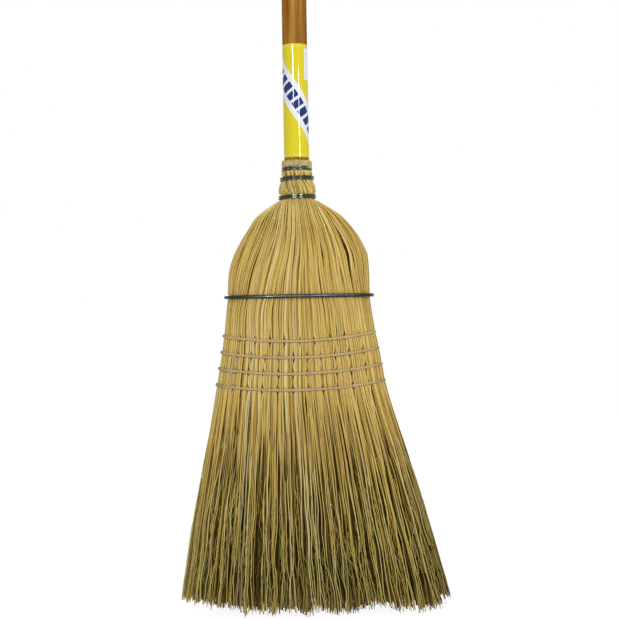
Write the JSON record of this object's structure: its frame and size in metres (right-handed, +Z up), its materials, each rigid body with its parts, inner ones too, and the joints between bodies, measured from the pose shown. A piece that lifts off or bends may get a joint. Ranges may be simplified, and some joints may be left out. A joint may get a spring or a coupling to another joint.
{
  "type": "corn broom",
  "caption": "Warehouse corn broom: round wood handle, wire-bound neck, shouldered straw head with a wire band and sewn twine rows, flared free straw.",
  "frame": {"origin": "on the handle's axis at the floor that the straw tips stand on", "axes": "+Z up along the handle, +X to the right across the head's width, -Y towards the front face"},
  "size_m": [0.3096, 0.0736, 1.456],
  "materials": {
    "lacquered_wood": "gloss",
    "label_film": "gloss",
    "binding_wire": "satin",
    "band_wire": "satin",
    "bound_straw": "satin",
    "free_straw": "matte",
    "twine": "matte"
  },
  "bodies": {
    "bound_broom": {"handle": "lacquered_wood", "label_sleeve": "label_film", "inner_wire": "binding_wire", "binding_wire": "binding_wire", "wire_band": "band_wire", "front_hurl": "bound_straw", "back_hurl": "bound_straw", "left_shoulder": "bound_straw", "right_shoulder": "bound_straw", "inner_stalks": "bound_straw", "twine_band_1": "twine", "twine_band_2": "twine", "twine_band_3": "twine", "twine_band_4": "twine", "twine_lacing_1": "twine", "twine_lacing_2": "twine", "twine_lacing_3": "twine", "twine_lacing_4": "twine", "twine_links": "twine"},
    "free_straw": {"front_free_straw": "free_straw", "back_free_straw": "free_straw", "left_free_straw": "free_straw", "right_free_straw": "free_straw", "inner_free_straw": "free_straw"}
  },
  "joints": [
    {"name": "straw_flex", "type": "hinge", "parent": "bound_broom", "child": "free_straw", "pos_m": [0, 0, 0.219], "axis": [1, 0, 0], "range_deg": [-20, 20], "stiffness_Nm_per_rad": 16}
  ]
}
